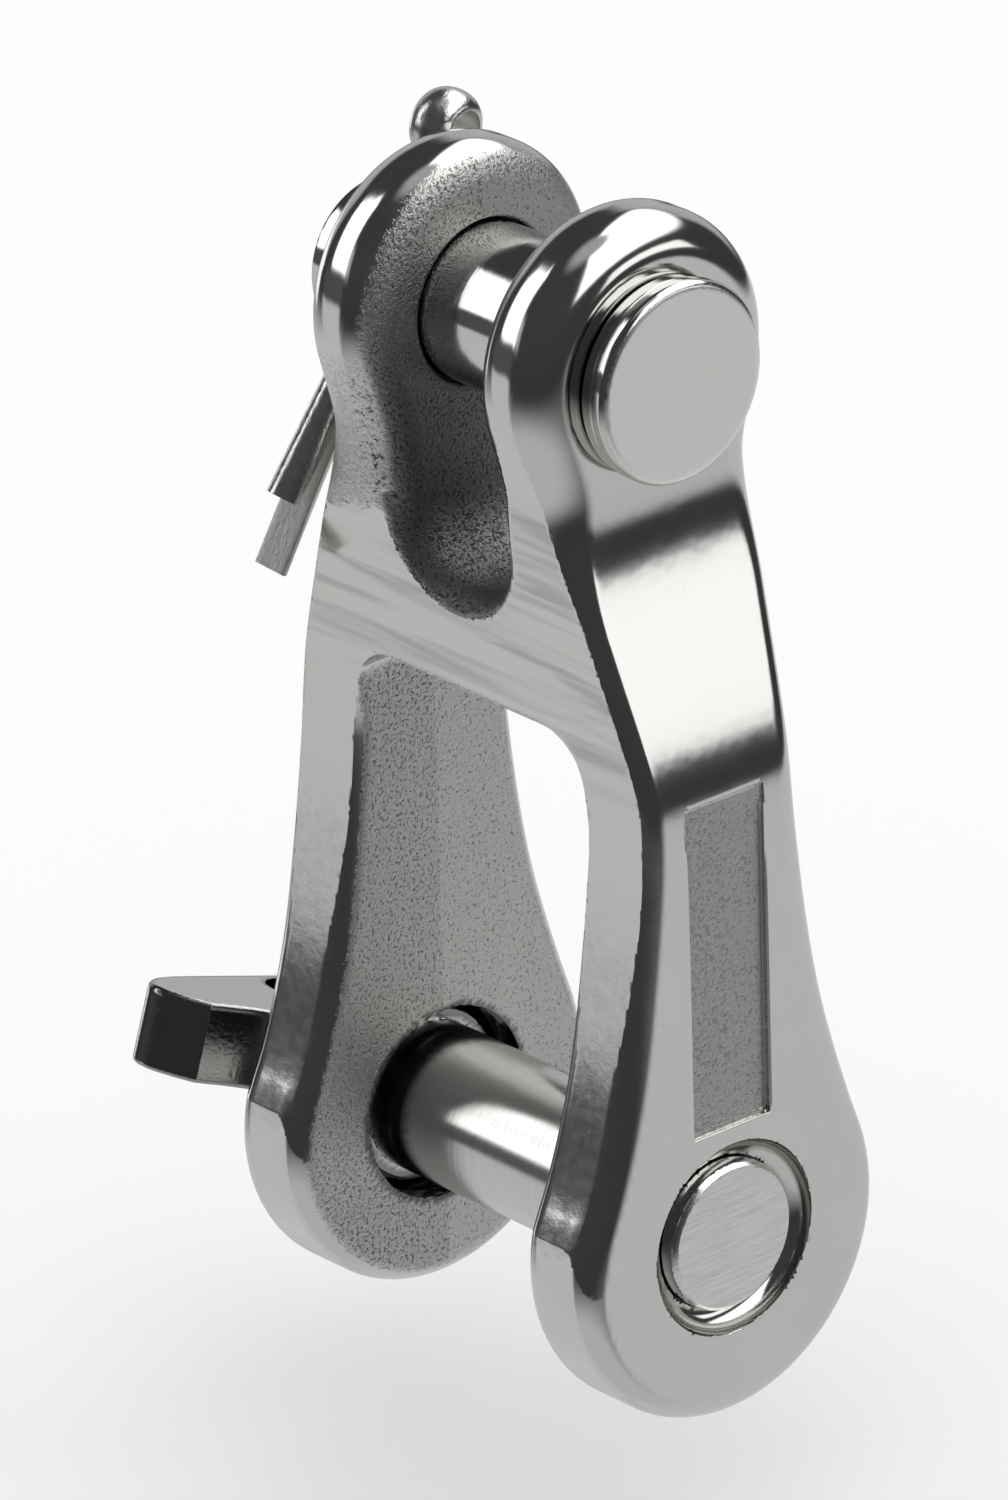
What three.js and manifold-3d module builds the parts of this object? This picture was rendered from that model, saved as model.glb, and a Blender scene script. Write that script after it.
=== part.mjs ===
// Double-jaw rigging toggle in stainless steel: a one-piece cast fork with a narrow upper jaw and a wide
// lower jaw, a headed clevis pin locked by a split cotter pin, and a screw pin with a thumb tab.
// Millimetres, +Z up. The origin is the middle of the lower jaw on its pin axis; both pins lie along X.
import * as THREE from "three";
import { mergeVertices } from "three/addons/utils/BufferGeometryUtils.js";
import Module from "manifold-3d";

const wasm = await Module();
wasm.setup();

// ---- Driving dimensions --------------------------------------------------------------------------
const pinSpacing = 69.0; // between the two pin axes
const roundSides = 64; // facets round every pin and hole

const lowerGap = 25.4; // clear width of the lower jaw
const lowerEarThickness = 7.6;
const lowerEarRadius = 14.9;
const lowerEdge = 1.6; // rounding of the lower arms' edges
const barUndersideToPin = 27.7; // from the upper pin axis down to the underside of the crossbar
const lowerSlotCorner = 4.2; // radius in the corners under the crossbar

const upperGap = 11.4; // clear width of the upper jaw
const upperEarThickness = 7.8;
const upperEarRadius = 12.1;
const upperEdge = 3.3; // the upper ears are rolled over almost to a half round
const slotFloorToPin = 19.6; // from the upper pin axis down to the bottom of the upper slot

const waistHalf = 7.5; // half the casting's depth at its waist
const shoulderHalf = 10.3; // half its depth under the upper ears
const waistToPin = 31.3; // the arms start to lean inwards this far below the upper pin axis
const shoulderToPin = 12.0; // and are upright again here
const crossbarHalf = 9.7; // half the crossbar's depth between its rounded edges
const crossbarEdge = 2.4;
const flankAngle = 20; // where the arm's flank leaves the lower ear, in degrees above the pin axis

const panelWidth = 7.4; // shallow recess on the near arm's outer face
const panelBottom = 9.4;
const panelBelowWaist = 1.3;
const panelDepth = 0.35;

const screwShankRadius = 6.0;
const clevisShankRadius = 6.35;
const runningClearance = 0.12; // radial, between a pin and its hole
const sideClearance = 0.3; // between faces that meet

const countersinkRadius = 7.9; // round the screw pin's plain end
const countersinkDepth = 1.4;
const collarRadius = 7.75; // threaded collar of the screw pin
const collarStart = 2.2; // how deep the collar stops inside the far ear
const collarProud = 1.1; // how far it stands out of the far ear

const tabThickness = 6.5;
const tabHalfSpan = 14.4;
const tabReach = 14.4; // from the far ear's face to the tab's outer edge
const tabTurn = 18; // degrees that the tab is turned about the pin
const tabHoleRadius = 2.6;
const tabEdge = 0.4; // bevel round the tab
const screwChamfer = 0.4;
const screwRecess = 0.1; // the plain end stops this far inside the near ear's face

const headRadius = 8.0;
const headThickness = 2.65;
const headChamfer = 0.35;
const tailLength = 5.6; // clevis pin beyond the far ear
const tailChamfer = 0.9;

const cotterRadius = 1.45; // of the two half-round legs together
const cotterHoleRadius = 1.75;
const cotterFromEar = 2.75; // from the far ear's face to the cotter's axis
const cotterTilt = 31; // degrees from upright, eye leaning to +Y
const cotterSpin = 80; // degrees that the split plane's normal is turned from +X
const eyeCentre = 11.0; // from the pin's axis to the middle of the eye
const eyeInner = 1.8; // inner radius of the eye
const neckBend = 2.4; // radius by which each leg turns out into the eye
const legGap = 0.3; // between the two legs' flats inside the hole
const frontLeg = 19.6; // from the pin's axis to each leg's end
const rearLeg = 25.0;
const frontSpread = 0.5; // how far each leg is bent open at its end
const rearSpread = 1.3;
const legKick = 0.07; // both legs lean out from the ear by this share of their length past the pin

// ---- Sizes that follow ---------------------------------------------------------------------------
const lowerInner = lowerGap / 2;
const lowerOuter = lowerInner + lowerEarThickness;
const upperInner = upperGap / 2;
const upperOuter = upperInner + upperEarThickness;
const lowerSlotTop = pinSpacing - barUndersideToPin;
const waistHeight = pinSpacing - waistToPin;
const shoulderHeight = pinSpacing - shoulderToPin;
const panelTop = waistHeight - panelBelowWaist;
const degrees = Math.PI / 180;
const beyond = 4; // how far a cutter runs past what it cuts

// ---- Making and combining solids -----------------------------------------------------------------
function solid(geometry) {
  const bare = geometry.index ? geometry.toNonIndexed() : geometry.clone();
  for (const name of Object.keys(bare.attributes)) {
    if (name !== "position") bare.deleteAttribute(name);
  }
  const merged = mergeVertices(bare, 1e-4);
  const mesh = new wasm.Mesh({
    numProp: 3,
    vertProperties: new Float32Array(merged.attributes.position.array),
    triVerts: new Uint32Array(merged.index.array),
  });
  return new wasm.Manifold(mesh);
}

function geometryOf(body) {
  const mesh = body.getMesh();
  const flat = new THREE.BufferGeometry()
    .setAttribute("position", new THREE.BufferAttribute(new Float32Array(mesh.vertProperties), 3))
    .setIndex(new THREE.BufferAttribute(new Uint32Array(mesh.triVerts), 1))
    .toNonIndexed();
  flat.computeVertexNormals();
  return flat;
}

// A shape drawn in (y, z), extruded along X from x0 to x1 with both ends rounded.
function plateAlongX(shape, x0, x1, edge, edgeSteps) {
  const geometry = new THREE.ExtrudeGeometry(shape, {
    depth: x1 - x0 - 2 * edge,
    bevelEnabled: edge > 0,
    bevelThickness: edge,
    bevelSize: edge,
    bevelOffset: -edge,
    bevelSegments: edgeSteps,
    curveSegments: 14,
  });
  const turn = new THREE.Matrix4().makeBasis(
    new THREE.Vector3(0, 1, 0),
    new THREE.Vector3(0, 0, 1),
    new THREE.Vector3(1, 0, 0),
  );
  return solid(geometry.translate(0, 0, edge).applyMatrix4(turn).translate(x0, 0, 0));
}

// A shape drawn in (x, z), extruded along Y from y = -half to +half, with its edges rounded where edge > 0.
function plateAlongY(shape, half, edge) {
  const geometry = new THREE.ExtrudeGeometry(shape, {
    depth: 2 * (half - edge),
    bevelEnabled: edge > 0,
    bevelThickness: edge,
    bevelSize: edge,
    bevelOffset: -edge,
    bevelSegments: 3,
    curveSegments: 10,
  });
  const turn = new THREE.Matrix4().makeBasis(
    new THREE.Vector3(1, 0, 0),
    new THREE.Vector3(0, 0, 1),
    new THREE.Vector3(0, -1, 0),
  );
  return solid(geometry.translate(0, 0, edge).applyMatrix4(turn).translate(0, half, 0));
}

// A profile of (radius, x) points turned about the X axis.
function turned(profile) {
  const points = profile.map(([radius, x]) => new THREE.Vector2(radius, x));
  return solid(new THREE.LatheGeometry(points, roundSides).rotateZ(-Math.PI / 2));
}

function boxBetween(low, high) {
  const size = high.map((value, i) => value - low[i]);
  const middle = high.map((value, i) => (value + low[i]) / 2);
  return solid(new THREE.BoxGeometry(...size).translate(...middle));
}

const toUpperPin = new THREE.Matrix4().makeTranslation(0, 0, pinSpacing);

function moved(body, matrix) {
  return body.transform(matrix.elements);
}

// ---- Toggle body ---------------------------------------------------------------------------------

// Outline seen along X: round lower ears, flanks drawn in to a waist, a widening neck, round upper ears.
function sideOutline() {
  const start = flankAngle * degrees;
  const leave = { y: lowerEarRadius * Math.cos(start), z: lowerEarRadius * Math.sin(start) };
  const run = { y: -Math.sin(start) * 10, z: Math.cos(start) * 10 };
  const join = Math.acos(shoulderHalf / upperEarRadius);
  const shoulder = { y: shoulderHalf, z: pinSpacing - upperEarRadius * Math.sin(join) };
  const shape = new THREE.Shape();
  shape.absarc(0, 0, lowerEarRadius, Math.PI - start, 2 * Math.PI + start, false);
  shape.bezierCurveTo(leave.y + run.y, leave.z + run.z, waistHalf, waistHeight - 12, waistHalf, waistHeight);
  shape.lineTo(shoulder.y, shoulder.z);
  shape.absarc(0, pinSpacing, upperEarRadius, -join, Math.PI + join, false);
  shape.lineTo(-waistHalf, waistHeight);
  shape.bezierCurveTo(-waistHalf, waistHeight - 12, -leave.y - run.y, leave.z + run.z, -leave.y, leave.z);
  return shape;
}

// Outline seen along Y: arms that lean inwards to the upper ears, with both jaws open.
function frontOutline() {
  const floor = -lowerEarRadius - beyond;
  const roof = pinSpacing + upperEarRadius + beyond;
  const slotArc = pinSpacing - slotFloorToPin + upperInner;
  const ease = 3; // length of the soft bends in the outer faces
  const lean = (lowerOuter - upperOuter) / (shoulderHeight - waistHeight);
  const shape = new THREE.Shape();
  shape.moveTo(lowerInner, floor);
  shape.lineTo(lowerOuter, floor);
  shape.lineTo(lowerOuter, waistHeight - ease);
  shape.quadraticCurveTo(lowerOuter, waistHeight, lowerOuter - lean * ease, waistHeight + ease);
  shape.lineTo(upperOuter + lean * ease, shoulderHeight - ease);
  shape.quadraticCurveTo(upperOuter, shoulderHeight, upperOuter, shoulderHeight + ease);
  shape.lineTo(upperOuter, roof);
  shape.lineTo(upperInner, roof);
  shape.lineTo(upperInner, slotArc);
  shape.absarc(0, slotArc, upperInner, 0, Math.PI, true);
  shape.lineTo(-upperInner, roof);
  shape.lineTo(-upperOuter, roof);
  shape.lineTo(-upperOuter, shoulderHeight + ease);
  shape.quadraticCurveTo(-upperOuter, shoulderHeight, -upperOuter - lean * ease, shoulderHeight - ease);
  shape.lineTo(-lowerOuter + lean * ease, waistHeight + ease);
  shape.quadraticCurveTo(-lowerOuter, waistHeight, -lowerOuter, waistHeight - ease);
  shape.lineTo(-lowerOuter, floor);
  shape.lineTo(-lowerInner, floor);
  const corner = lowerSlotTop - lowerSlotCorner;
  shape.lineTo(-lowerInner, corner);
  shape.absarc(-lowerInner + lowerSlotCorner, corner, lowerSlotCorner, Math.PI, Math.PI / 2, true);
  shape.absarc(lowerInner - lowerSlotCorner, corner, lowerSlotCorner, Math.PI / 2, 0, true);
  return shape;
}

function toggleBody() {
  const outline = sideOutline();
  const wide = 2 * lowerOuter;
  const deep = lowerEarRadius + beyond;
  const bottom = -lowerEarRadius - beyond;
  const top = pinSpacing + upperEarRadius + beyond;
  const slotFloor = pinSpacing - slotFloorToPin;

  const lowerZone = boxBetween([-wide, -deep, bottom], [wide, deep, lowerSlotTop]);
  const upperZone = boxBetween([-wide, -deep, slotFloor], [wide, deep, top]);
  const middleZone = boxBetween([-wide, -deep, waistHeight], [wide, deep, shoulderHeight]);

  const nearArm = plateAlongX(outline, lowerInner, lowerOuter, lowerEdge, 2);
  const farArm = plateAlongX(outline, -lowerOuter, -lowerInner, lowerEdge, 2);
  const nearEar = plateAlongX(outline, upperInner, upperOuter, upperEdge, 3);
  const farEar = plateAlongX(outline, -upperOuter, -upperInner, upperEdge, 3);
  const middle = plateAlongX(outline, -lowerOuter, lowerOuter, lowerEdge, 2);

  const front = frontOutline();
  const ends = nearArm.add(farArm).intersect(lowerZone).add(nearEar.add(farEar).intersect(upperZone));
  const crossbar = middle.intersect(middleZone).intersect(plateAlongY(front, crossbarHalf, crossbarEdge));
  const body = ends.intersect(plateAlongY(front, deep, 0)).add(crossbar);

  const clevisHole = turned([
    [0, -upperOuter - beyond],
    [clevisShankRadius + runningClearance, -upperOuter - beyond],
    [clevisShankRadius + runningClearance, upperOuter + beyond],
    [0, upperOuter + beyond],
  ]);
  const plainHole = turned([
    [0, lowerInner - beyond],
    [screwShankRadius + runningClearance, lowerInner - beyond],
    [screwShankRadius + runningClearance, lowerOuter - countersinkDepth],
    [countersinkRadius, lowerOuter],
    [countersinkRadius, lowerOuter + beyond],
    [0, lowerOuter + beyond],
  ]);
  const threadedHole = turned([
    [0, -lowerOuter - beyond],
    [collarRadius + runningClearance, -lowerOuter - beyond],
    [collarRadius + runningClearance, -lowerInner + beyond],
    [0, -lowerInner + beyond],
  ]);
  const panel = boxBetween(
    [lowerOuter - panelDepth, -panelWidth / 2, panelBottom],
    [lowerOuter + beyond, panelWidth / 2, panelTop],
  );
  return body
    .subtract(moved(clevisHole, toUpperPin))
    .subtract(plainHole)
    .subtract(threadedHole)
    .subtract(panel);
}

// ---- Clevis pin ----------------------------------------------------------------------------------

// The frame that the cotter pin and its hole share: local Z along the cotter, local X across its split.
function cotterFrame() {
  const along = new THREE.Vector3(0, Math.sin(cotterTilt * degrees), Math.cos(cotterTilt * degrees));
  const side = new THREE.Vector3(0, -along.z, along.y);
  const across = new THREE.Vector3(1, 0, 0)
    .multiplyScalar(Math.cos(cotterSpin * degrees))
    .addScaledVector(side, Math.sin(cotterSpin * degrees));
  const third = new THREE.Vector3().crossVectors(along, across);
  return new THREE.Matrix4()
    .makeBasis(across, third, along)
    .setPosition(-upperOuter - cotterFromEar, 0, pinSpacing);
}

function clevisPin() {
  const shoulder = upperOuter + sideClearance;
  const face = shoulder + headThickness;
  const end = -upperOuter - tailLength;
  const blank = turned([
    [0, end],
    [clevisShankRadius - tailChamfer, end],
    [clevisShankRadius, end + tailChamfer],
    [clevisShankRadius, shoulder],
    [headRadius - headChamfer, shoulder],
    [headRadius, shoulder + headChamfer],
    [headRadius, face - headChamfer],
    [headRadius - headChamfer, face],
    [0, face],
  ]);
  const length = 2 * clevisShankRadius + beyond;
  const drill = new THREE.CylinderGeometry(cotterHoleRadius, cotterHoleRadius, length, 24)
    .rotateX(Math.PI / 2)
    .applyMatrix4(cotterFrame());
  return moved(blank, toUpperPin).subtract(solid(drill));
}

// ---- Cotter pin ----------------------------------------------------------------------------------

// Frames along a path for an extrusion whose sections keep their own Y as close to the path's Y as they can.
function untwisted(path, steps) {
  const tangents = Array.from({ length: steps + 1 }, (_, step) => path.getTangentAt(step / steps));
  const binormals = tangents.map((t) => new THREE.Vector3(0, 1, 0).addScaledVector(t, -t.y).normalize());
  const normals = tangents.map((t, step) => new THREE.Vector3().crossVectors(binormals[step], t));
  return { tangents, normals, binormals };
}

// One half-round wire: up the front leg, round the eye and down the rear leg. Each leg runs straight
// through the pin and turns out by an arc that meets the eye's circle along its tangent.
function cotterPin() {
  const split = legGap / 2;
  const exit = clevisShankRadius + 0.6;
  const neck = eyeCentre - Math.sqrt((neckBend + eyeInner) ** 2 - (neckBend + split) ** 2);
  const meeting = Math.acos((neckBend + split) / (neckBend + eyeInner));
  const leg = (side, spread, end) =>
    [1, 0.7, 0.4, 0.1, 0].map((share) => {
      const past = share * (end - exit);
      return [side * (split + spread * share ** 1.4), -legKick * past, -exit - past];
    });
  const turnOut = (side) =>
    [0, 0.35, 0.7].map((share) => [
      side * (split + neckBend - neckBend * Math.cos(share * meeting)),
      0,
      neck + neckBend * Math.sin(share * meeting),
    ]);
  const eye = [0, 1, 2, 3, 4, 5, 6, 7, 8].map((count) => {
    const angle = -meeting + (count / 8) * (Math.PI + 2 * meeting);
    return [eyeInner * Math.cos(angle), 0, eyeCentre + eyeInner * Math.sin(angle)];
  });
  const points = [
    ...leg(1, frontSpread, frontLeg),
    [split, 0, 0],
    ...turnOut(1),
    ...eye,
    ...turnOut(-1).reverse(),
    [-split, 0, 0],
    ...leg(-1, rearSpread, rearLeg).reverse(),
  ];
  const path = new THREE.CatmullRomCurve3(points.map(([x, y, z]) => new THREE.Vector3(x, y, z)));
  path.computeFrenetFrames = (steps) => untwisted(path, steps);

  // The section's flat lies on the path, and its round side faces away from the eye's middle.
  const section = new THREE.Shape();
  section.absarc(0, 0, cotterRadius, -Math.PI / 2, Math.PI / 2, false);
  const wire = new THREE.ExtrudeGeometry(section, {
    steps: 88,
    curveSegments: 5,
    bevelEnabled: false,
    extrudePath: path,
  });
  return solid(wire.applyMatrix4(cotterFrame()));
}

// ---- Screw pin -----------------------------------------------------------------------------------

// Plan of the thumb tab, drawn as (across, outwards from the far ear's face): a wide oval on a short neck.
function tabOutline() {
  const neckHalf = 6.4;
  const noseCentre = tabReach - 4.6; // the oval's ends are widest here
  const shape = new THREE.Shape();
  shape.moveTo(-neckHalf, 0.4);
  shape.lineTo(neckHalf, 0.4);
  shape.lineTo(neckHalf + 0.4, 4.4);
  shape.lineTo(tabHalfSpan - 2.4, noseCentre - 3.2);
  shape.quadraticCurveTo(tabHalfSpan, noseCentre - 2.2, tabHalfSpan, noseCentre + 0.4);
  shape.bezierCurveTo(tabHalfSpan - 0.3, tabReach - 1.4, 7.6, tabReach, 0, tabReach);
  shape.bezierCurveTo(-7.6, tabReach, 0.3 - tabHalfSpan, tabReach - 1.4, -tabHalfSpan, noseCentre + 0.4);
  shape.quadraticCurveTo(-tabHalfSpan, noseCentre - 2.2, 2.4 - tabHalfSpan, noseCentre - 3.2);
  shape.lineTo(-neckHalf - 0.4, 4.4);
  const hole = new THREE.Path();
  hole.absarc(0, noseCentre, tabHoleRadius, 0, 2 * Math.PI, true);
  shape.holes.push(hole);
  return shape;
}

function screwPin() {
  const plainEnd = lowerOuter - screwRecess;
  const chamfer = screwChamfer;
  const collarInner = -lowerInner - collarStart;
  const collarOuter = -lowerOuter - collarProud;
  const stem = turned([
    [0, collarOuter],
    [collarRadius - chamfer, collarOuter],
    [collarRadius, collarOuter + chamfer],
    [collarRadius, collarInner - chamfer],
    [collarRadius - chamfer, collarInner],
    [screwShankRadius, collarInner],
    [screwShankRadius, plainEnd - chamfer],
    [screwShankRadius - chamfer, plainEnd],
    [0, plainEnd],
  ]);
  const edge = tabEdge;
  const plate = new THREE.ExtrudeGeometry(tabOutline(), {
    depth: tabThickness - 2 * edge,
    bevelEnabled: true,
    bevelThickness: edge,
    bevelSize: edge,
    bevelOffset: -edge,
    bevelSegments: 1,
    curveSegments: 10,
  });
  const turn = new THREE.Matrix4().makeBasis(
    new THREE.Vector3(0, 1, 0),
    new THREE.Vector3(-1, 0, 0),
    new THREE.Vector3(0, 0, 1),
  );
  const tab = plate
    .translate(0, 0, edge - tabThickness / 2)
    .applyMatrix4(turn)
    .translate(-lowerOuter, 0, 0)
    .rotateX(-tabTurn * degrees);
  return stem.add(solid(tab));
}

// ---- The assembly --------------------------------------------------------------------------------
const finishes = {
  casting: { color: 0xb4b3ae, metalness: 1, roughness: 0.22 },
  turnedPin: { color: 0xc6c5c0, metalness: 1, roughness: 0.18 },
  wire: { color: 0xb0afa9, metalness: 1, roughness: 0.3 },
  satinPin: { color: 0xaaa9a3, metalness: 1, roughness: 0.36 },
};

const toggle = new THREE.Group();

function place(name, body, finish) {
  const mesh = new THREE.Mesh(geometryOf(body), new THREE.MeshStandardMaterial(finishes[finish]));
  mesh.name = name;
  toggle.add(mesh);
}

place("toggle_body", toggleBody(), "casting");
place("clevis_pin", clevisPin(), "turnedPin");
place("cotter_pin", cotterPin(), "wire");
place("screw_pin", screwPin(), "satinPin");

export default toggle;
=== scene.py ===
import bpy
import numpy as np
from mathutils import Matrix, Vector


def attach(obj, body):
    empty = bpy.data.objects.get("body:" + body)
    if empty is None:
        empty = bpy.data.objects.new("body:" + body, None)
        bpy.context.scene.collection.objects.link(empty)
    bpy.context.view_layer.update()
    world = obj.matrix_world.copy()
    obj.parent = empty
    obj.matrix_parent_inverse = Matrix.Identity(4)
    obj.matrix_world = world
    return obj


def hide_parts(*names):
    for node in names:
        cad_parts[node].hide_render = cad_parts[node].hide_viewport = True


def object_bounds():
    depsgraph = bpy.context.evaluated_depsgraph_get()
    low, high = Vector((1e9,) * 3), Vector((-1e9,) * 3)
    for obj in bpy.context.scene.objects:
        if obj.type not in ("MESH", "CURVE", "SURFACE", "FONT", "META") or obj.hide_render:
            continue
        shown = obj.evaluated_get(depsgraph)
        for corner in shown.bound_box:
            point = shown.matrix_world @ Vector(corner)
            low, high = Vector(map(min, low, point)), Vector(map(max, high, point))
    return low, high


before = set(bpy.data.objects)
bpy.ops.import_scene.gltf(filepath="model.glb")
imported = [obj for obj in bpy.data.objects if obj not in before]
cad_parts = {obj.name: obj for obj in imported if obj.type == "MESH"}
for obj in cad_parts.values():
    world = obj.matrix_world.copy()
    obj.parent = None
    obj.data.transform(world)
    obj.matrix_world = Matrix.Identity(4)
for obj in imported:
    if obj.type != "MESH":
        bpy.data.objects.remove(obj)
cad_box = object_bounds()
scene = bpy.context.scene

# ---- The view ------------------------------------------------------------------------------------
# The toggle is seen from its right and a little above, from well back, so that its sides stay almost
# parallel. Distances are in metres, turns in degrees, and the lens in millimetres.
view_turn, view_rise, view_roll = np.radians([48.98, 24.56, -1.44])
view_distance = 1.327
view_middle = Vector((-0.00483, 0.0, 0.0323))

toward = Vector((np.sin(view_turn) * np.cos(view_rise), -np.cos(view_turn) * np.cos(view_rise),
                 np.sin(view_rise)))
level = Vector((np.cos(view_turn), np.sin(view_turn), 0.0))
upright = toward.cross(level)
across_view = np.cos(view_roll) * level + np.sin(view_roll) * upright
up_view = np.cos(view_roll) * upright - np.sin(view_roll) * level
lens = bpy.data.cameras.new("camera")
lens.lens = 420.4
lens.sensor_width = 36.0
lens.clip_start = 0.05
lens.clip_end = 20.0
camera = bpy.data.objects.new("camera", lens)
scene.collection.objects.link(camera)
camera.matrix_world = Matrix.Translation(view_middle + view_distance * toward) @ Matrix(
    (across_view, up_view, toward)).transposed().to_4x4()
scene.camera = camera
scene.view_settings.view_transform = "Standard"

# ---- The studio ----------------------------------------------------------------------------------
# A plain pale floor under the toggle, and a room that polished steel mirrors. The floor darkens towards
# the horizon, sooner in front than on the left and behind. Above it stand a large white panel high up, a
# low one under it, a leaning white strip with a dimmer one beside it, a grey wall, and two faint glows.
floor_height = cad_box[0][2] - 0.012
white_surround = 1.06
room_glow = 0.05
floor_brightness = 0.67
sky_dome = 0.45

world = bpy.data.worlds.new("studio")
scene.world = world
world.use_nodes = True
room = world.node_tree
room.nodes.clear()


def maths(tree, operation, *values):
    """One node of arithmetic on numbers or on other nodes' outputs."""
    node = tree.nodes.new("ShaderNodeMath")
    node.operation = operation
    for socket, value in zip(node.inputs, values):
        if isinstance(value, bpy.types.NodeSocket):
            tree.links.new(value, socket)
        else:
            socket.default_value = value
    return node.outputs[0]


def step_between(tree, value, start, end):
    """0 where the value is at start, 1 where it is at end, with a smooth step between."""
    node = tree.nodes.new("ShaderNodeMapRange")
    node.interpolation_type = "SMOOTHSTEP"
    tree.links.new(value, node.inputs["Value"])
    node.inputs["From Min"].default_value = start
    node.inputs["From Max"].default_value = end
    return node.outputs["Result"]


def window(tree, value, low, high, soft):
    """1 where the value lies between low and high, falling to 0 over the width soft on either side."""
    return maths(tree, "MULTIPLY", step_between(tree, value, low - soft, low + soft),
                 step_between(tree, value, high + soft, high - soft))


looking = room.nodes.new("ShaderNodeTexCoord").outputs["Generated"]
parts = room.nodes.new("ShaderNodeSeparateXYZ")
room.links.new(looking, parts.inputs[0])
rise = maths(room, "MULTIPLY", maths(room, "ARCSINE", parts.outputs["Z"]), 180 / np.pi)
turn = maths(room, "MULTIPLY", maths(room, "ARCTAN2", parts.outputs["Y"], parts.outputs["X"]), 180 / np.pi)
full_turn = maths(room, "WRAP", turn, 360.0, 0.0)
leaning = maths(room, "ADD", full_turn, maths(room, "MULTIPLY", rise, 0.575))

# Each panel: the angle it is measured in, its two edges, its lower and upper rise, softness, brightness.
panels = (
    (turn, -12, 132, 27, 74, 4.0, 2.3),
    (turn, 20, 54, 1, 13, 1.2, 1.55),
    (full_turn, 102, 184, -7, 24, 6.0, 0.5),
    (leaning, 224, 239, 9, 47, 1.8, 2.3),
    (leaning, 239, 252, 10, 26, 4.0, 0.55),
    (full_turn, 160, 186, -17, -4, 3.0, 1.3),
    (full_turn, 205, 238, -6, 5, 4.0, 0.05),
)
light = maths(room, "MULTIPLY", step_between(room, rise, 66, 82), sky_dome)
for angle, start, end, bottom, top, soft, brightness in panels:
    mask = maths(room, "MULTIPLY", window(room, angle, start, end, soft),
                 window(room, rise, bottom, top, soft))
    light = maths(room, "ADD", light, maths(room, "MULTIPLY", mask, brightness))
behind = window(room, full_turn, 25, 150, 20)
behind_floor = maths(room, "MULTIPLY", step_between(room, rise, -12, -17), behind)
left_floor = maths(room, "MULTIPLY", step_between(room, rise, -8, -30),
                   window(room, full_turn, 150, 240, 20))
front_floor = maths(room, "MULTIPLY", step_between(room, rise, -14, -44), 0.9)
flank_floor = maths(room, "MULTIPLY", step_between(room, rise, -6.5, -9.5),
                    window(room, full_turn, 212, 237, 6))
seen_floor = maths(room, "MAXIMUM", maths(room, "MAXIMUM", behind_floor, left_floor),
                   maths(room, "MAXIMUM", front_floor, flank_floor))
pale = maths(room, "MULTIPLY", seen_floor, floor_brightness)
light = maths(room, "ADD", maths(room, "ADD", light, pale), room_glow)
path = room.nodes.new("ShaderNodeLightPath")
chosen = room.nodes.new("ShaderNodeMix")
chosen.data_type = "FLOAT"
room.links.new(path.outputs["Is Glossy Ray"], chosen.inputs["Factor"])
chosen.inputs["A"].default_value = white_surround
room.links.new(light, chosen.inputs["B"])
shine = room.nodes.new("ShaderNodeBackground")
room.links.new(chosen.outputs[0], shine.inputs["Color"])
sky = room.nodes.new("ShaderNodeOutputWorld")
room.links.new(shine.outputs[0], sky.inputs["Surface"])

floor_reach = 3.0
floor_mesh = bpy.data.meshes.new("floor")
floor_mesh.from_pydata([(x, y, floor_height) for x, y in
                        ((-floor_reach, -floor_reach), (floor_reach, -floor_reach),
                         (floor_reach, floor_reach), (-floor_reach, floor_reach))], [], [(0, 1, 2, 3)])
floor = bpy.data.objects.new("floor", floor_mesh)
scene.collection.objects.link(floor)
paper = bpy.data.materials.new("pale_floor")
paper.use_nodes = True
paper.node_tree.nodes["Principled BSDF"].inputs["Base Color"].default_value = (0.93, 0.93, 0.925, 1)
paper.node_tree.nodes["Principled BSDF"].inputs["Roughness"].default_value = 0.9
paper.node_tree.nodes["Principled BSDF"].inputs["Specular IOR Level"].default_value = 0.0
floor_mesh.materials.append(paper)
floor.visible_glossy = False

# ---- Toggle body ---------------------------------------------------------------------------------
# One investment casting in stainless steel. The wax pattern gives it rolled edges everywhere; the
# crossbar and the fronts of the arms are then ground flat, and the outside is polished, while the
# insides of both jaws stay as cast. Sizes in millimetres.
MM = 0.001
pin_spacing = 69.0
lower_ear, upper_ear = 14.9, 12.1
lower_inner, lower_outer = 12.7, 20.3
upper_inner, upper_outer = 5.7, 13.5
waist, waist_height = 7.5, 37.7
flank = np.radians(20.0)
neck_widening, waist_bend = 0.112, 2.0
shoulder_height = 57.0
lean = (lower_outer - upper_outer) / (shoulder_height - waist_height)
slot_top, slot_corner = 41.3, 4.2
upper_slot_centre = 55.1
ground_off = 0.4
flank_depth = 0.42
neck_end = 66.0
bend_width = 3.1
screw_hole, collar_hole, clevis_hole = 6.14, 7.87, 6.47
seat_radius = 1.72
thread_pitch, thread_groove = 1.5, 0.25
panel_depth, panel_half_width, panel_bottom, panel_top, panel_rounding = 0.35, 3.7, 9.4, 36.4, 0.15


def smooth(value, start, end):
    """0 below start, 1 above end, with the cubic 3t^2 - 2t^3 between."""
    t = np.clip((value - start) / (end - start), 0, 1)
    return t * t * (3 - 2 * t)


def rolled(a, b, radius):
    """Where two solids, given as distances a and b to their surfaces, both are: the larger distance,
    with the edge between them rolled to the radius."""
    return np.minimum(np.maximum(a + radius, b + radius), 0) + np.hypot(
        np.maximum(a + radius, 0), np.maximum(b + radius, 0)) - radius


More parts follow.
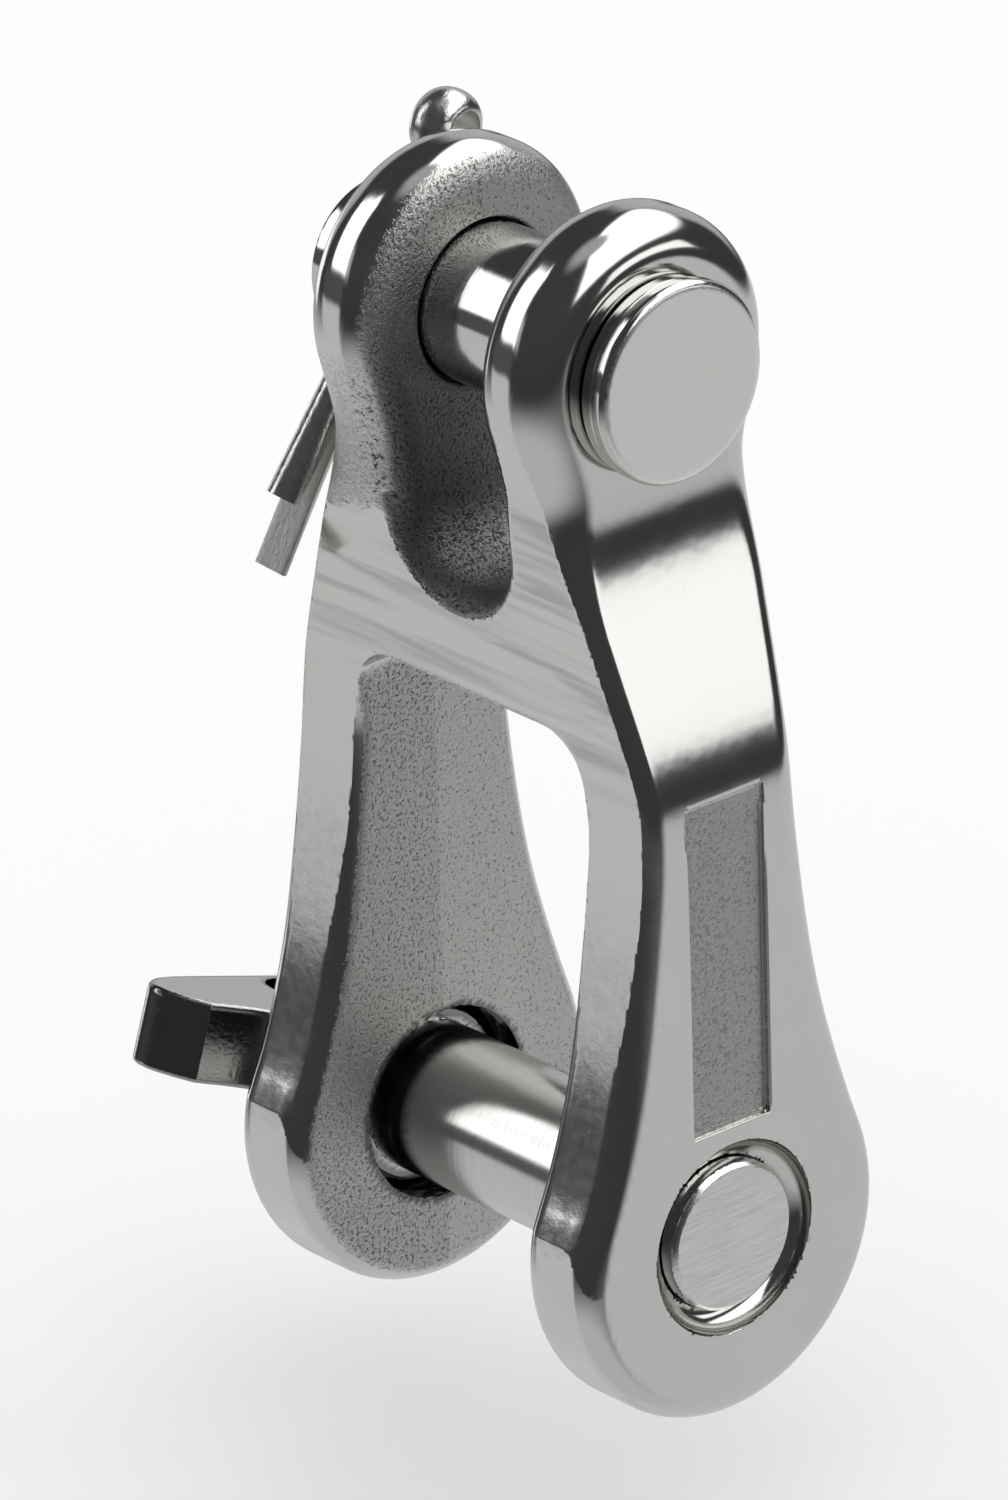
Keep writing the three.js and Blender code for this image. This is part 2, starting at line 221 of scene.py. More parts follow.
def filleted(a, b, size):
    """Where either of two solids is: the smaller distance, blended by a quadratic where they are closer
    to each other than size."""
    mix = np.maximum(size - np.abs(a - b), 0) / size
    return np.minimum(a, b) - mix * mix * size / 4


def bend(value, width):
    """A ramp that is 0 well below zero and equals the value well above it: half of value plus root of
    value squared plus width squared."""
    return 0.5 * (value + np.hypot(value, width))


def bend_slope(value, width):
    """Slope of the ramp above."""
    return 0.5 * (1 + value / np.hypot(value, width))


def side_distance(y, z):
    """Distance to the outline seen along X: a round lower ear, a flank that leaves it along its tangent
    and eases to the waist, a neck that widens evenly, and a round upper ear."""
    half = np.abs(y)
    start_z, start_y = lower_ear * np.sin(flank), lower_ear * np.cos(flank)
    length = waist_height - start_z
    t = np.clip((z - start_z) / length, 0, 1)
    slope = -np.tan(flank)
    width = (start_y * (1 + t * t * (2 * t - 3)) + slope * length * (t ** 3 - 2 * t * t + t)
             + waist * t * t * (3 - 2 * t) + slope * np.minimum(z - start_z, 0))
    turn = (start_y * (6 * t * t - 6 * t) + waist * (6 * t - 6 * t * t)) / length
    turn = turn + slope * (3 * t * t - 4 * t + 1)
    width = width + neck_widening * bend(z - waist_height, waist_bend)
    turn = turn + neck_widening * bend_slope(z - waist_height, waist_bend)
    neck = (half - width) / np.hypot(1, turn)
    low = np.hypot(half, z) - lower_ear
    neck = np.where(np.arctan2(z, half) < flank, low, neck)
    high = np.hypot(half, z - pin_spacing) - upper_ear
    neck = neck + 1.6 * bend(z - neck_end, 2.0)
    return filleted(neck, high, 2.0)


def flank_cut(x, y, z):
    """How much lower the front flank is ground: an exponential rise from a line that drops towards +X."""
    across = (x + np.where(x < 0, lower_outer, -lower_inner)) / (lower_outer - lower_inner)
    start = 3.0 - 3.6 * smooth(across, 0.62, 1.0)
    return flank_depth * (1 - np.exp(-np.maximum(z - start, 0) / 2.2)) * (1 - smooth(z, 9, 24)) * (y < 0)


def outer_distance(x, z):
    """Distance to the outer faces: upright, leaning inwards above the waist, upright again."""
    reach = lower_outer - lean * (bend(z - waist_height, bend_width) - bend(z - shoulder_height, bend_width))
    turn = lean * (bend_slope(z - waist_height, bend_width) - bend_slope(z - shoulder_height, bend_width))
    return (np.abs(x) - reach) / np.hypot(1, turn)


def jaw_distance(x, z, half, top, corner):
    """Distance to a jaw's space, open downwards, with round corners at its top."""
    u = np.abs(x) - half + corner
    v = z - top + corner
    return np.hypot(np.maximum(u, 0), np.maximum(v, 0)) + np.minimum(np.maximum(u, v), 0) - corner


def upper_jaw_distance(x, z):
    """Distance to the upper jaw's space, the jaw above turned over, its closed end a half circle."""
    turned_over = 2 * upper_slot_centre - z
    return jaw_distance(x, turned_over, upper_inner, upper_slot_centre + upper_inner, upper_inner)


def box_distance(points, low, high):
    """Distance to an upright box."""
    away = [np.abs(p - (a + b) / 2) - (b - a) / 2 for p, a, b in zip(points, low, high)]
    outside = np.sqrt(sum(np.maximum(q, 0) ** 2 for q in away))
    return outside + np.minimum(np.maximum(np.maximum(away[0], away[1]), away[2]), 0)


def ledge_height(x):
    """Height on the far ear's front where the grinding of the crossbar stops, a wavering line."""
    return 53.2 + 0.22 * (x + 12) + 0.25 * np.sin(2.1 * x) + 0.12 * np.sin(5.3 * x + 1)


def thread_wave(x, y, z):
    """A thread's profile round X: a triangle wave between 0 and 1 that winds once round in each pitch."""
    return np.abs((x / thread_pitch - np.arctan2(z, y) / (2 * np.pi)) % 1 * 2 - 1)


def body_distance(x, y, z):
    """Distance to the casting: outline and outer faces with rolled edges, less both jaws, less the
    ground fronts, less the pin holes and the recessed panel."""
    side = side_distance(y, z) + flank_cut(x, y, z)
    proud = ground_off * (1 - smooth(z, 56, 67)) * smooth(z, 14, 30)
    edge = 2.1 + 1.3 * smooth(z, 50, 61) - 0.3 * smooth(-z, -8, 4)
    solid = rolled(side - proud, outer_distance(x, z), edge)
    lower = jaw_distance(x, z, lower_inner, slot_top, slot_corner)
    solid = rolled(solid, -lower, 1.8 - 1.5 * smooth(z, 33, 40))
    upper = upper_jaw_distance(x, z)
    solid = rolled(solid, -upper, 3.2)
    uncut = (x < 0) * (y < 0) * smooth(z, ledge_height(x), ledge_height(x) + 0.5)
    solid = np.maximum(solid, side - uncut)
    around = np.hypot(y, z)
    plain_hole = np.maximum(around - screw_hole, -x)
    sunk_ring = np.maximum(np.hypot(around - screw_hole, x - lower_outer) - seat_radius, -x)
    threaded_hole = np.maximum(around - collar_hole + thread_groove * thread_wave(x, y, z), x)
    solid = np.maximum(solid, -np.minimum(plain_hole, sunk_ring))
    solid = np.maximum(solid, -threaded_hole)
    solid = rolled(solid, clevis_hole - np.hypot(y, z - pin_spacing), 0.5)
    low = (lower_outer - panel_depth, -panel_half_width, panel_bottom)
    high = (lower_outer + 5, panel_half_width, panel_top)
    panel = box_distance((x, y, z), low, high) - panel_rounding
    return np.maximum(solid, -panel)


def unit(vectors):
    """Vectors of length one along the given ones."""
    return vectors / np.linalg.norm(vectors, axis=1)[:, None]


def slope_of(distance, points, nudge):
    """Slope of a distance at each point, from its values a nudge to either side along each axis."""
    rises = [distance(*(points + nudge * axis).T) - distance(*(points - nudge * axis).T)
             for axis in np.eye(3)]
    return np.stack(rises, 1) / (2 * nudge)


def spaced(low, high, coarse, fine_spans=(), fine=0.25):
    """Grid places from low to high, a coarse step apart, and a fine step inside the fine spans."""
    place, places = low - 1.4 * coarse, []
    while place < high + 1.5 * coarse:
        places.append(place)
        place += fine if any(a < place < b for a, b in fine_spans) else coarse
    return np.array(places)


def skin(distance, axes):
    """The surface where a distance is zero. Each grid cell that it crosses gets one point, which is the
    nearest to all the tangent planes at the crossings on the cell's edges, so sharp edges stay sharp,
    and the points of cells round a crossed edge make a face. Returns points, faces and one normal per
    corner of each face, taken a little inside the face where the surface has a sharp edge."""
    values = distance(axes[0][:, None, None], axes[1][None, :, None], axes[2][None, None, :])
    cells = np.array(values.shape) - 1
    step = min(np.diff(axis).min() for axis in axes)
    places, rings, turned_round = [], [], []
    for axis in range(3):
        first = np.take(values, np.arange(cells[axis]), axis)
        second = np.take(values, np.arange(1, cells[axis] + 1), axis)
        where = np.argwhere((first < 0) != (second < 0))
        a, b = first[tuple(where.T)], second[tuple(where.T)]
        place = np.stack([axes[i][where[:, i]] for i in range(3)], 1)
        place[:, axis] += a / (a - b) * np.diff(axes[axis])[where[:, axis]]
        sides = np.eye(3, dtype=int)[[(axis + 1) % 3, (axis + 2) % 3]]
        corners = ((1, 1), (0, 1), (0, 0), (1, 0))
        ring = np.stack([where - i * sides[0] - j * sides[1] for i, j in corners], 1)
        places.append(place)
        rings.append(np.ravel_multi_index(tuple(np.moveaxis(ring, 2, 0)), cells))
        turned_round.append(a < 0)
    places, rings = np.concatenate(places), np.concatenate(rings)
    turned_round = np.concatenate(turned_round)
    used, owner = np.unique(rings, return_inverse=True)
    owner = owner.reshape(rings.shape)
    faces = np.where(turned_round[:, None], owner, owner[:, ::-1])
    planes = unit(slope_of(distance, places, 0.01))

    def gathered(weights):
        """Sum of a value over the crossed edges round each cell."""
        return sum(np.bincount(owner[:, corner], weights, len(used)) for corner in range(4))

    count = gathered(np.ones(len(places)))
    middle = np.stack([gathered(places[:, i]) / count for i in range(3)], 1)
    moments = np.stack([[gathered(planes[:, i] * planes[:, j]) for j in range(3)] for i in range(3)])
    moments = np.moveaxis(moments, 2, 0)
    reach = (planes * places).sum(1)
    pull = np.stack([gathered(planes[:, i] * reach) for i in range(3)], 1)
    pull -= np.einsum("nij,nj->ni", moments, middle)
    shift = np.linalg.solve(moments + 0.03 * count[:, None, None] * np.eye(3), pull[:, :, None])[:, :, 0]
    points = middle + np.clip(shift, -0.8 * step, 0.8 * step)
    for _ in range(3):
        slope = slope_of(distance, points, 0.01)
        away = distance(*points.T) / np.maximum((slope ** 2).sum(1), 0.3)
        points = points - np.clip(away, -0.5 * step, 0.5 * step)[:, None] * slope
    around_points = unit(slope_of(distance, points, 0.3))
    at_points = unit(slope_of(distance, points, 0.02))
    corners = points[faces]
    within = (0.6 * corners + 0.4 * corners.mean(1, keepdims=True)).reshape(-1, 3)
    inside_face = unit(slope_of(distance, within, 0.02))
    smooth_there = (inside_face * at_points[faces.ravel()]).sum(1) > np.cos(np.radians(14))
    normals = np.where(smooth_there[:, None], at_points[faces.ravel()], inside_face)
    return points, faces, normals, around_points


def piece(name, points, faces, normals=None, fields=None):
    """A mesh object from points in millimetres, with its shading normals and named values per point."""
    mesh = bpy.data.meshes.new(name)
    mesh.from_pydata(points * MM, [], faces)
    mesh.shade_smooth()
    for field, values in (fields or {}).items():
        layer = mesh.attributes.new(field, "FLOAT", "POINT")
        layer.data.foreach_set("value", np.asarray(values, np.float32))
    if normals is not None:
        mesh.normals_split_custom_set(normals)
    made = bpy.data.objects.new(name, mesh)
    scene.collection.objects.link(made)
    return made


points, faces, normals, facing = skin(body_distance, (
    spaced(-lower_outer, lower_outer, 0.45, ((-20.4, -12.4), (18.3, 20.3)), 0.28),
    spaced(-lower_ear, lower_ear, 0.49, ((-8.5, 8.5),), 0.32),
    spaced(-lower_ear, pin_spacing + upper_ear, 0.49, ((-8.5, 8.5), (61.5, 76.5)), 0.32)))
x, y, z = points.T
inward = -np.sign(x) * facing[:, 0]
in_lower = (z < slot_top + 0.3) * smooth(lower_inner + 0.5 - np.abs(x), 0, 0.35)
under_bar = smooth(-facing[:, 2], 0.6, 0.9) * (z > 38)
lower_inside = in_lower * np.maximum(smooth(inward, 0.86, 0.99), under_bar)
from_slot = np.abs(upper_jaw_distance(x, z))
upper_inside = smooth(2.3 - from_slot, 0, 1.0) * (z > 46) * smooth(0.95 - np.abs(facing[:, 1]), 0, 0.1)
upper_inside = upper_inside * np.where(z > 56, smooth(inward, 0.5, 0.8), 1.0)
ear_front = (x < -4) * smooth(z, ledge_height(x) + 0.1, ledge_height(x) + 0.5) * smooth(68 - z, 0, 4)
ear_front = ear_front * smooth(-facing[:, 1], 0.4, 0.8)
cast = np.clip(np.maximum(lower_inside, upper_inside), 0, 1)
rough = np.clip(ear_front, 0, 1) * (1 - cast)
pitted = rough * smooth(x, -10.5, -6.5)
ground = smooth(np.abs(facing[:, 1]), 0.965, 0.99) * (z > 10) * (z < 62) * (1 - cast) * (1 - rough)
flank_zone = smooth(-facing[:, 1], 0.85, 0.93) * smooth(z, 1.5, 2.0) * smooth(30 - z, 0, 6)
sunk = (x > lower_outer - 0.6) * (x < lower_outer - 0.25) * (np.abs(y) < panel_half_width + 0.05)
sunk = sunk * (z > panel_bottom) * (z < panel_top)
from_screw_hole = np.abs(np.hypot(y, z) - screw_hole)
from_clevis_hole = np.abs(np.hypot(y, z - pin_spacing) - clevis_hole)
bored = np.minimum(from_screw_hole, from_clevis_hole) < 0.25
# Painted shade: the bore of the far arm's threaded hole, coloured near black for the shade inside the hole.
threaded = (x < 0) * (np.abs(np.hypot(y, z) - collar_hole) < 0.35)
fields = {"cast": cast, "rough": rough, "pitted": pitted, "ground": ground, "flank": flank_zone,
          "sunk": sunk, "bored": bored, "threaded": threaded}
body = piece("cast_toggle_body", points, faces, normals, fields)


def group_of(name, inputs, outputs):
    """An empty shader node group with named number inputs and outputs."""
    group = bpy.data.node_groups.new(name, "ShaderNodeTree")
    for label, value in inputs.items():
        socket = group.interface.new_socket(label, in_out="INPUT", socket_type="NodeSocketFloat")
        socket.default_value = value
    for label in outputs:
        group.interface.new_socket(label, in_out="OUTPUT", socket_type="NodeSocketFloat")
    return group, group.nodes.new("NodeGroupInput"), group.nodes.new("NodeGroupOutput")


def noise(tree, vector, scale, detail=2.0, roughness=0.5, distortion=0.0):
    """Smooth noise from 0 to 1 at a scale given in ups and downs per metre."""
    node = tree.nodes.new("ShaderNodeTexNoise")
    tree.links.new(vector, node.inputs["Vector"])
    if isinstance(scale, bpy.types.NodeSocket):
        tree.links.new(scale, node.inputs["Scale"])
    else:
        node.inputs["Scale"].default_value = scale
    node.inputs["Detail"].default_value = detail
    node.inputs["Roughness"].default_value = roughness
    node.inputs["Distortion"].default_value = distortion
    return node.outputs["Fac"]


def object_place(tree, stretch=(1, 1, 1), turned_by=(0, 0, 0)):
    """Object coordinates, turned and then stretched."""
    place = tree.nodes.new("ShaderNodeTexCoord").outputs["Object"]
    mapping = tree.nodes.new("ShaderNodeMapping")
    tree.links.new(place, mapping.inputs["Vector"])
    mapping.inputs["Scale"].default_value = stretch
    mapping.inputs["Rotation"].default_value = turned_by
    return mapping.outputs["Vector"]


def use_group(tree, group, **values):
    """One copy of a node group in a material, with its own values."""
    node = tree.nodes.new("ShaderNodeGroup")
    node.node_tree = group
    for label, value in values.items():
        if isinstance(value, bpy.types.NodeSocket):
            tree.links.new(value, node.inputs[label])
        else:
            node.inputs[label].default_value = value
    return node.outputs


def blend(tree, share, first, second):
    """Goes from the first number to the second as the share goes from 0 to 1."""
    node = tree.nodes.new("ShaderNodeMix")
    node.data_type = "FLOAT"
    sockets = node.inputs["Factor"], node.inputs["A"], node.inputs["B"]
    for socket, value in zip(sockets, (share, first, second)):
        if isinstance(value, bpy.types.NodeSocket):
            tree.links.new(value, socket)
        else:
            socket.default_value = value
    return node.outputs[0]


def layered(tree, base, finishes):
    """A value laid over by others in turn, each where its own share from 0 to 1 says."""
    for share, value in finishes:
        base = blend(tree, share, base, value)
    return base


def steel_colour(tree, shade, tint=(1.0, 0.99, 0.965)):
    """A grey of the given shade with steel's slight warmth."""
    node = tree.nodes.new("ShaderNodeCombineXYZ")
    for socket, share in zip(node.inputs, tint):
        tree.links.new(maths(tree, "MULTIPLY", shade, share), socket)
    return node.outputs[0]


def raised(tree, height, distance):
    """The surface normal where the height stands up by the distance in metres."""
    node = tree.nodes.new("ShaderNodeBump")
    node.inputs["Distance"].default_value = distance
    tree.links.new(height, node.inputs["Height"])
    return node.outputs["Normal"]


def zone(tree, name):
    """The value from 0 to 1 that the mesh holds at each point under a name."""
    node = tree.nodes.new("ShaderNodeAttribute")
    node.attribute_name = name
    return node.outputs["Fac"]


def metal(name):
    """A new metal material, with its node tree and its shader."""
    made = bpy.data.materials.new(name)
    made.use_nodes = True
    shader = made.node_tree.nodes["Principled BSDF"]
    shader.inputs["Metallic"].default_value = 1.0
    return made, made.node_tree, shader


# Sand-like grain as a ceramic shell leaves it: pits where one noise dips low, beads where another peaks.
grain, grain_in, grain_out = group_of("cast_grain", {"Scale": 2600.0, "Pits": 0.42}, ("Height", "Pit"))
where = object_place(grain)
coarse = noise(grain, where, grain_in.outputs["Scale"], 3.0, 0.62)
fine = noise(grain, where, maths(grain, "MULTIPLY", grain_in.outputs["Scale"], 2.3), 2.0, 0.6)
mixed = maths(grain, "ADD", maths(grain, "MULTIPLY", coarse, 0.7), maths(grain, "MULTIPLY", fine, 0.3))
edge_value = grain_in.outputs["Pits"]
pit = maths(grain, "MULTIPLY", maths(grain, "SUBTRACT", edge_value, mixed), 14.0)
pit_node = grain.nodes.new("ShaderNodeClamp")
grain.links.new(pit, pit_node.inputs["Value"])
grain.links.new(mixed, grain_out.inputs["Height"])
grain.links.new(pit_node.outputs[0], grain_out.inputs["Pit"])

# Fine lines left by abrasive: noise drawn out along one direction.
lines, lines_in, lines_out = group_of("abrasive_lines", {"Depth": 1.0}, ("Height",))
drawn = noise(lines, object_place(lines, (0.03, 1, 1), (0, np.radians(-8), 0)), 5200.0, 3.0, 0.7)
lines.links.new(maths(lines, "MULTIPLY", drawn, lines_in.outputs["Depth"]), lines_out.inputs["Height"])

steel, tree, shader = metal("polished_casting")
is_cast, is_rough, is_ground, is_sunk = (zone(tree, name) for name in ("cast", "rough", "ground", "sunk"))
is_bored, is_pitted, is_flank, in_shaded_bore = (
    zone(tree, name) for name in ("bored", "pitted", "flank", "threaded"))
place = tree.nodes.new("ShaderNodeSeparateXYZ")
tree.links.new(object_place(tree), place.inputs[0])
left_half = step_between(tree, place.outputs["Y"], 0.0001, -0.0001)
shell = use_group(tree, grain, Scale=3300.0, Pits=blend(tree, left_half, 0.445, 0.47))
deep_pits = use_group(tree, grain, Scale=1900.0, Pits=blend(tree, is_pitted, 0.38, 0.50))
specks = use_group(tree, grain, Scale=1500.0, Pits=0.31)
cloud = noise(tree, object_place(tree), 160.0, 3.0, 0.6)
mottle = noise(tree, object_place(tree), 900.0, 4.0, 0.7)
bands = noise(tree, object_place(tree, (0.07, 1, 1), (0, np.radians(-6), 0)), 700.0, 2.0, 0.5, 0.4)
bands = maths(tree, "MULTIPLY", step_between(tree, bands, 0.42, 0.74),
              step_between(tree, place.outputs["Z"], 0.036, 0.041))
# Painted shade: inside the upper slot the cast faces get a darker grey, darkest low down and lighter towards
# the tops of the ears, for the shadow that falls between the ears.
slot_shade_share = step_between(tree, place.outputs["Z"], 0.0445, 0.0475)
strokes = use_group(tree, lines, Depth=1.0)["Height"]
polished_shade = maths(tree, "SUBTRACT", blend(tree, cloud, 0.58, 0.64),
                       maths(tree, "MULTIPLY", specks["Pit"], 0.2))
ground_shade = blend(tree, bands, 0.64, 0.50)
slot_painted_shade = blend(tree, step_between(tree, place.outputs["Z"], 0.063, 0.075), 0.22, 0.44)
cast_grey_and_slot_shade = blend(tree, slot_shade_share, blend(tree, left_half, 0.64, 0.58), slot_painted_shade)
clean_share = maths(tree, "SUBTRACT", 1.0, maths(tree, "MULTIPLY", shell["Pit"], 0.62))
cast_shade = maths(tree, "MULTIPLY", cast_grey_and_slot_shade, clean_share)
rough_shade = maths(tree, "SUBTRACT", 0.74, maths(tree, "MULTIPLY", deep_pits["Pit"], 0.62))
flank_shade = blend(tree, mottle, 0.42, 0.80)
sunk_shade = maths(tree, "SUBTRACT", 0.45, maths(tree, "MULTIPLY", shell["Pit"], 0.15))
# The finishes laid over the polished grey in turn; the last, near black in the far arm's threaded bore, is
# painted shade.
shade = layered(tree, polished_shade, (
    (is_ground, ground_shade), (is_flank, flank_shade), (is_sunk, sunk_shade), (is_cast, cast_shade),
    (is_rough, rough_shade), (in_shaded_bore, 0.2)))
tree.links.new(steel_colour(tree, shade), shader.inputs["Base Color"])
ground_gloss, flank_gloss = blend(tree, bands, 0.18, 0.34), blend(tree, mottle, 0.10, 0.22)
gloss = layered(tree, blend(tree, cloud, 0.09, 0.14), (
    (is_ground, ground_gloss), (is_flank, flank_gloss), (is_sunk, 0.32), (is_bored, 0.24),
    (is_cast, 0.34), (is_rough, 0.36)))
tree.links.new(gloss, shader.inputs["Roughness"])
height = maths(tree, "MULTIPLY", cloud, 0.3)
height = maths(tree, "SUBTRACT", height, maths(tree, "MULTIPLY", specks["Pit"], 0.12))
any_cast = maths(tree, "MAXIMUM", is_cast, is_rough)
any_cast = maths(tree, "MAXIMUM", any_cast, maths(tree, "MULTIPLY", is_sunk, 0.45))
grain_height = maths(tree, "SUBTRACT", shell["Height"], maths(tree, "MULTIPLY", shell["Pit"], 0.25))
for relief, share, amount in ((bands, is_ground, 0.3), (strokes, is_ground, 0.04), (mottle, is_flank, 0.16),
                              (grain_height, any_cast, 2.2)):
    part = maths(tree, "MULTIPLY", maths(tree, "MULTIPLY", relief, share), amount)
    height = maths(tree, "ADD", height, part)
tree.links.new(raised(tree, height, 0.00008), shader.inputs["Normal"])
body.data.materials.append(steel)
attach(body, "toggle_body")
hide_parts("toggle_body")

# ---- Clevis pin ----------------------------------------------------------------------------------
# Turned from bright bar: a plain shank, and a head with a thin flange, a narrow groove and a thicker
# disc with a flat face. Its tail is drilled across for the cotter pin.
clevis_shank = 6.35
head_start, flange_end, face_end = 13.7, 14.95, 16.45
head_groove = 0.2
flange_radius, groove_radius, disc_radius, disc_edge = 7.8, 7.3, 8.0, 0.62
tail_end, tail_bevel = -19.1, 0.9
cotter_place, cotter_hole = -16.25, 1.75
cotter_tilt = np.radians(31.0)


def rod(radius, start, end, x, around):
    """Distance to a round bar along X."""
    return np.maximum(around - radius, np.maximum(start - x, x - end))


def bevelled(solid, past_side, past_end, size):
    """A bar less the corner between its side and its end, cut at 45 degrees, size long each way."""
    return np.maximum(solid, (past_side + past_end + size) / np.sqrt(2))


def clevis_distance(x, y, z):
    """Distance to the pin: shank, flange, groove, disc and bevelled face, less the cross hole."""
    around = np.hypot(y, z)
    shank = rolled(rod(clevis_shank, -99, head_start + 1, x, around), tail_end - x, 0.05)
    shank = bevelled(shank, around - clevis_shank, tail_end - x, tail_bevel)
    flange = rolled(around - flange_radius, np.maximum(head_start - x, x - flange_end), 0.28)
    groove = rod(groove_radius, head_start, face_end - 1, x, around)
    disc = np.maximum(rolled(around - disc_radius, x - face_end, disc_edge), flange_end + head_groove - x)
    solid = np.minimum(np.minimum(shank, flange), np.minimum(groove, disc))
    across = y * np.cos(cotter_tilt) - z * np.sin(cotter_tilt)
    return np.maximum(solid, cotter_hole - np.hypot(x - cotter_place, across))


points, faces, normals, facing = skin(clevis_distance, (
    spaced(tail_end, face_end, 0.34, ((13.2, 16.6), (-19.2, -18.0)), 0.17),
    spaced(-disc_radius, disc_radius, 0.27), spaced(-disc_radius, disc_radius, 0.27)))
face_zone = points[:, 0] > face_end - 0.1
points[:, 2] += pin_spacing
clevis = piece("headed_clevis_pin", points, faces, normals, {"flat_face": face_zone})

# Fine rings that a turning tool leaves round X, used on both pins.
rings, rings_in, rings_out = group_of("turning_marks", {"Scale": 3000.0}, ("Height",))
turned_noise = noise(rings, object_place(rings, (1, 0.02, 0.02)), rings_in.outputs["Scale"], 3.0, 0.6)
rings.links.new(turned_noise, rings_out.inputs["Height"])

bright, tree, shader = metal("bright_turned_steel")
marks = use_group(tree, rings, Scale=2600.0)["Height"]
cloud = noise(tree, object_place(tree), 260.0, 3.0, 0.6)
on_face = zone(tree, "flat_face")
shade = blend(tree, on_face, blend(tree, cloud, 0.58, 0.62), 0.80)
tree.links.new(steel_colour(tree, shade), shader.inputs["Base Color"])
gloss = blend(tree, on_face, blend(tree, marks, 0.05, 0.16), 0.30)
tree.links.new(gloss, shader.inputs["Roughness"])
tree.links.new(raised(tree, maths(tree, "ADD", maths(tree, "MULTIPLY", marks, 0.5), cloud), 0.000012),
               shader.inputs["Normal"])
clevis.data.materials.append(bright)
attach(clevis, "clevis_pin")
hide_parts("clevis_pin")

# ---- Cotter pin ----------------------------------------------------------------------------------
# One length of half-round wire, folded flat side inwards into an eye and two legs, pushed through the
# clevis pin's tail, with the legs opened a little at their ends.
wire_radius, leg_gap = 1.45, 0.3
eye_middle, eye_inner, neck_bend = 11.0, 1.8, 2.4
leg_ends = (19.6, 25.0)
leg_spreads = (0.5, 1.3)
leg_lean = 0.07
eye_flattening = 0.3
split_turn = np.radians(80.0)
leg_start = clevis_shank + 0.6
meeting = np.arccos((neck_bend + leg_gap / 2) / (neck_bend + eye_inner))


def leg_path(side, spread, end):
    """A leg from its end up to the pin: it opens sideways by the spread times the 1.4th power of its
    share of the way out, and leans by a fixed share of its length."""
    share = np.linspace(1, 0, 40)
    past = share * (end - leg_start)
    return np.stack([side * (leg_gap / 2 + spread * share ** 1.4), -leg_lean * past, -leg_start - past], 1)


def turn_path(side):
    """The bend from a straight leg out to the eye's circle, an arc that meets it along its tangent."""
    angle = np.linspace(0, meeting, 12, endpoint=False)
    neck = eye_middle - np.sqrt((neck_bend + eye_inner) ** 2 - (neck_bend + leg_gap / 2) ** 2)
    return np.stack([side * (leg_gap / 2 + neck_bend * (1 - np.cos(angle))), 0 * angle,
                     neck + neck_bend * np.sin(angle)], 1)


round_eye = np.linspace(-meeting, np.pi + meeting, 48)
eye_path = np.stack([eye_inner * np.cos(round_eye), 0 * round_eye,
                     eye_middle + eye_inner * np.sin(round_eye)], 1)
wire = np.concatenate([leg_path(1, leg_spreads[0], leg_ends[0]), turn_path(1), eye_path,
                       turn_path(-1)[::-1], leg_path(-1, leg_spreads[1], leg_ends[1])[::-1]])
along = unit(np.gradient(wire, axis=0))
wide = unit(np.array([0.0, 1.0, 0.0]) - along * along[:, 1:2])
out = np.cross(wide, along)
bow = np.linspace(-np.pi / 2, np.pi / 2, 17)
across_flat = np.linspace(0.93, -0.93, 9) * wire_radius
section = np.stack([np.concatenate([wire_radius * np.cos(bow) * 0.985 + 0.02, 0 * across_flat]),
                    np.concatenate([wire_radius * np.sin(bow), across_flat])], 1)
flattened = eye_flattening * smooth(wire[:, 2], 7.5, 11.5)[:, None, None]
surface = wire[:, None] + section[None, :, :1] * out[:, None] * (1 - 0.5 * flattened)
surface = surface + section[None, :, 1:] * wide[:, None] * (1 + flattened)
sides = len(section)
stations = len(wire)
first = np.arange(stations - 1)[:, None] * sides + np.arange(sides)[None]
second = np.arange(stations - 1)[:, None] * sides + (np.arange(sides)[None] + 1) % sides
quads = np.stack([first, second, second + sides, first + sides], 2).reshape(-1, 4)
ends = [surface[0].mean(0), surface[-1].mean(0)]
points = np.concatenate([surface.reshape(-1, 3), ends])
last = (stations - 1) * sides
centre = stations * sides
ring = np.arange(sides)
caps = np.concatenate([np.stack([np.full(sides, centre), (ring + 1) % sides, ring], 1),
                       np.stack([np.full(sides, centre + 1), last + ring, last + (ring + 1) % sides], 1)])
axis = np.array([0.0, np.sin(cotter_tilt), np.cos(cotter_tilt)])
side_way = np.array([0.0, -axis[2], axis[1]])
across = np.array([np.cos(split_turn), 0, 0]) + side_way * np.sin(split_turn)
points = points @ np.array([across, np.cross(axis, across), axis]) + np.array([cotter_place, 0, pin_spacing])
flat_side = np.concatenate([np.tile(section[:, 0] < 0.01, stations), [False, False]])
cotter = piece("split_cotter_pin", points, quads.tolist() + caps.tolist(), None, {"flat_side": flat_side})
cotter.data.set_sharp_from_angle(angle=np.radians(40))

